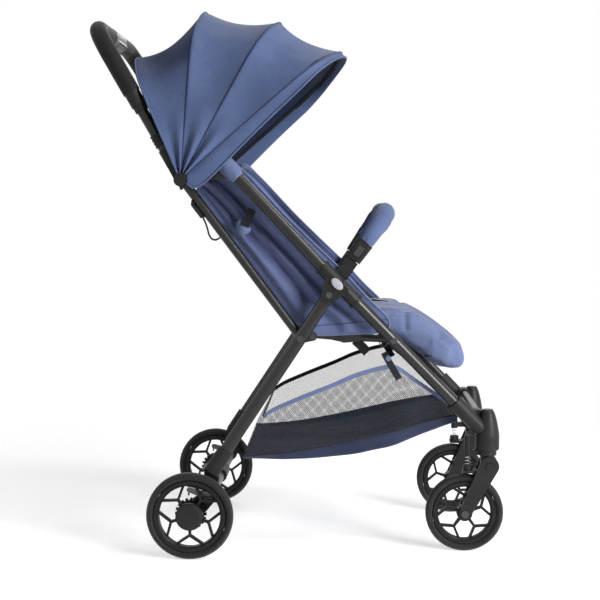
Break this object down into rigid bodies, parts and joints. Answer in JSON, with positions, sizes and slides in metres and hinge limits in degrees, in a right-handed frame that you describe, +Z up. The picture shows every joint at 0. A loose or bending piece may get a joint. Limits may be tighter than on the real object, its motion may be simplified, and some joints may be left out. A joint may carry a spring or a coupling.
{
  "type": "baby stroller",
  "caption": "Compact folding baby stroller with a rear-folding canopy, reclining seat, basket, swivel front wheels and a foot brake.",
  "frame": {"origin": "on the floor, at the middle of the stroller's length and width", "axes": "+X forward, +Y to the left, +Z up"},
  "size_m": [0.7934, 0.5006, 1.0529],
  "materials": {
    "frame_metal": "satin",
    "black_plastic": "satin",
    "grip_foam": "matte",
    "blue_fabric": "woven",
    "dark_fabric": "woven",
    "tyre_foam": "matte",
    "grey_plastic": "satin",
    "steel": "brushed",
    "webbing": "woven",
    "rim_plastic": "satin"
  },
  "bodies": {
    "frame": {"front_tubes": "frame_metal", "front_legs": "frame_metal", "hubs": "black_plastic", "caster_housing_right": "black_plastic", "caster_housing_left": "black_plastic", "footrest_bar": "frame_metal", "seat_cushion": "blue_fabric", "side_wings": "blue_fabric", "harness_straps": "webbing", "harness_buckle": "black_plastic", "frame_rivets": "steel", "seat_straps": "webbing", "basket": "dark_fabric"},
    "back_frame": {"rear_legs": "frame_metal", "rear_brackets": "black_plastic", "rear_crossbar": "frame_metal", "rear_fasteners": "steel"},
    "brake": {"brake_shaft": "steel", "brake_pedal": "black_plastic"},
    "rear_wheel_right": {"rear_rim_right": "rim_plastic", "rear_tyre_right": "tyre_foam", "rear_hub_cap_right": "black_plastic"},
    "caster_right": {"caster_yoke_right": "black_plastic", "fork_spring_right": "steel"},
    "fork_right": {"caster_fork_right": "black_plastic", "front_axle_bolt_right": "steel"},
    "front_wheel_right": {"front_rim_right": "rim_plastic", "front_tyre_right": "tyre_foam"},
    "rear_wheel_left": {"rear_rim_left": "rim_plastic", "rear_tyre_left": "tyre_foam", "rear_hub_cap_left": "black_plastic"},
    "caster_left": {"caster_yoke_left": "black_plastic", "fork_spring_left": "steel"},
    "fork_left": {"caster_fork_left": "black_plastic", "front_axle_bolt_left": "steel"},
    "front_wheel_left": {"front_rim_left": "rim_plastic", "front_tyre_left": "tyre_foam"},
    "back_struts": {"back_tubes": "frame_metal", "catch_housings": "black_plastic", "fold_cables": "black_plastic"},
    "catches": {"fold_catches": "grey_plastic"},
    "top_links": {"top_links": "frame_metal"},
    "rail_fronts": {"seat_rail_fronts": "frame_metal"},
    "rail_rears": {"seat_rail_rears": "frame_metal"},
    "handle": {"handle_tube": "frame_metal", "handle_grip": "grip_foam", "handle_fittings": "black_plastic", "fold_button_housing": "grey_plastic", "canopy_cover": "blue_fabric"},
    "fold_button": {"fold_button": "grey_plastic"},
    "safety_slider": {"safety_slider": "grey_plastic"},
    "bow_1": {"canopy_bow_1": "black_plastic"},
    "bow_2": {"canopy_bow_2": "black_plastic"},
    "bow_3": {"canopy_bow_3": "black_plastic"},
    "backrest": {"backrest": "blue_fabric"},
    "calf_rest": {"calf_rest": "blue_fabric"},
    "bumper": {"bumper_bar": "black_plastic", "bumper_pad": "blue_fabric"},
    "bumper_button_right": {"bumper_button_right": "grey_plastic"},
    "bumper_button_left": {"bumper_button_left": "grey_plastic"}
  },
  "joints": [
    {"name": "fold", "type": "hinge", "parent": "frame", "child": "back_frame", "pos_m": [0.06037, 0, 0.5], "axis": [0, -1, 0], "range_deg": [0, 48], "deforming": ["basket", "side_wings"]},
    {"name": "brake_press", "type": "hinge", "parent": "back_frame", "child": "brake", "pos_m": [-0.16562, 0, 0.116], "axis": [0, -1, 0], "range_deg": [0, 12]},
    {"name": "rear_spin_right", "type": "hinge", "parent": "back_frame", "child": "rear_wheel_right", "pos_m": [-0.20162, -0.235, 0.0825], "axis": [0, 1, 0], "continuous": true},
    {"name": "caster_swivel_right", "type": "hinge", "parent": "frame", "child": "caster_right", "pos_m": [0.36438, -0.155, 0.19], "axis": [0, 0, 1], "continuous": true},
    {"name": "suspension_right", "type": "hinge", "parent": "caster_right", "child": "fork_right", "pos_m": [0.36738, -0.155, 0.168], "axis": [0, 1, 0], "range_deg": [0, 8], "stiffness_Nm_per_rad": 30, "springref_deg": -5.73, "deforming": ["fork_spring_right"]},
    {"name": "front_spin_right", "type": "hinge", "parent": "fork_right", "child": "front_wheel_right", "pos_m": [0.32138, -0.155, 0.075], "axis": [0, 1, 0], "continuous": true},
    {"name": "rear_spin_left", "type": "hinge", "parent": "back_frame", "child": "rear_wheel_left", "pos_m": [-0.20162, 0.235, 0.0825], "axis": [0, 1, 0], "continuous": true},
    {"name": "caster_swivel_left", "type": "hinge", "parent": "frame", "child": "caster_left", "pos_m": [0.36438, 0.155, 0.19], "axis": [0, 0, 1], "continuous": true},
    {"name": "suspension_left", "type": "hinge", "parent": "caster_left", "child": "fork_left", "pos_m": [0.36738, 0.155, 0.168], "axis": [0, 1, 0], "range_deg": [0, 8], "stiffness_Nm_per_rad": 30, "springref_deg": -5.73, "deforming": ["fork_spring_left"]},
    {"name": "front_spin_left", "type": "hinge", "parent": "fork_left", "child": "front_wheel_left", "pos_m": [0.32138, 0.155, 0.075], "axis": [0, 1, 0], "continuous": true},
    {"name": "back_fold", "type": "hinge", "parent": "back_frame", "child": "back_struts", "pos_m": [0.00637, 0, 0.418], "axis": [0, -1, 0], "range_deg": [-38.5, 0]},
    {"name": "handle_fold", "type": "hinge", "parent": "back_struts", "child": "handle", "pos_m": [-0.21563, 0, 0.714], "axis": [0, -1, 0], "range_deg": [0, 144.5]},
    {"name": "top_link_fold", "type": "hinge", "parent": "back_struts", "child": "top_links", "pos_m": [-0.21563, 0, 0.714], "axis": [0, -1, 0], "range_deg": [0, 32]},
    {"name": "rail_front_fold", "type": "hinge", "parent": "frame", "child": "rail_fronts", "pos_m": [0.18221, 0, 0.41286], "axis": [0, -1, 0], "range_deg": [0, 33.1]},
    {"name": "rail_rear_fold", "type": "hinge", "parent": "rail_fronts", "child": "rail_rears", "pos_m": [0.08837, 0, 0.416], "axis": [0, -1, 0], "range_deg": [-115.2, 0]},
    {"name": "catch_slide", "type": "slide", "parent": "back_struts", "child": "catches", "axis": [-0.6, 0, 0.8], "range_m": [0, 0.004]},
    {"name": "button_press", "type": "slide", "parent": "handle", "child": "fold_button", "axis": [-0.4968, 0, 0.8679], "range_m": [0, 0.004], "stiffness_N_per_m": 500, "springref_m": -0.002},
    {"name": "slider_slide", "type": "slide", "parent": "handle", "child": "safety_slider", "axis": [0, 1, 0], "range_m": [0, 0.005], "stiffness_N_per_m": 300, "springref_m": -0.001},
    {"name": "canopy_fold_1", "type": "hinge", "parent": "handle", "child": "bow_1", "pos_m": [-0.21563, 0, 0.714], "axis": [0, -1, 0], "range_deg": [0, 26], "deforming": ["canopy_cover"]},
    {"name": "canopy_fold_2", "type": "hinge", "parent": "bow_1", "child": "bow_2", "pos_m": [-0.21563, 0, 0.714], "axis": [0, -1, 0], "range_deg": [0, 20.1]},
    {"name": "canopy_fold_3", "type": "hinge", "parent": "bow_2", "child": "bow_3", "pos_m": [-0.21563, 0, 0.714], "axis": [0, -1, 0], "range_deg": [0, 17]},
    {"name": "recline", "type": "hinge", "parent": "frame", "child": "backrest", "pos_m": [0.02038, 0, 0.436], "axis": [0, -1, 0], "range_deg": [0, 30], "deforming": ["side_wings", "harness_straps"]},
    {"name": "calf_lift", "type": "hinge", "parent": "frame", "child": "calf_rest", "pos_m": [0.19437, 0, 0.471], "axis": [0, -1, 0], "range_deg": [0, 35]},
    {"name": "bumper_pull", "type": "slide", "parent": "frame", "child": "bumper", "axis": [0.5736, 0, 0.8192], "range_m": [0, 0.06]},
    {"name": "bumper_release_right", "type": "slide", "parent": "bumper", "child": "bumper_button_right", "axis": [0, 1, 0], "range_m": [0, 0.002], "stiffness_N_per_m": 500, "springref_m": -0.001},
    {"name": "bumper_release_left", "type": "slide", "parent": "bumper", "child": "bumper_button_left", "axis": [0, -1, 0], "range_m": [0, 0.002], "stiffness_N_per_m": 500, "springref_m": -0.001}
  ],
  "couplings": [
    {"joint": "back_fold", "follows": "fold", "ratio": -0.8},
    {"joint": "handle_fold", "follows": "fold", "ratio": 3},
    {"joint": "top_link_fold", "follows": "fold", "ratio": 0.66},
    {"joint": "rail_front_fold", "follows": "fold", "ratio": 0.6788},
    {"joint": "rail_rear_fold", "follows": "fold", "ratio": -2.3901},
    {"joint": "catch_slide", "follows": "button_press", "ratio": 1},
    {"joint": "canopy_fold_2", "follows": "canopy_fold_1", "ratio": 0.77},
    {"joint": "canopy_fold_3", "follows": "canopy_fold_1", "ratio": 0.65}
  ]
}
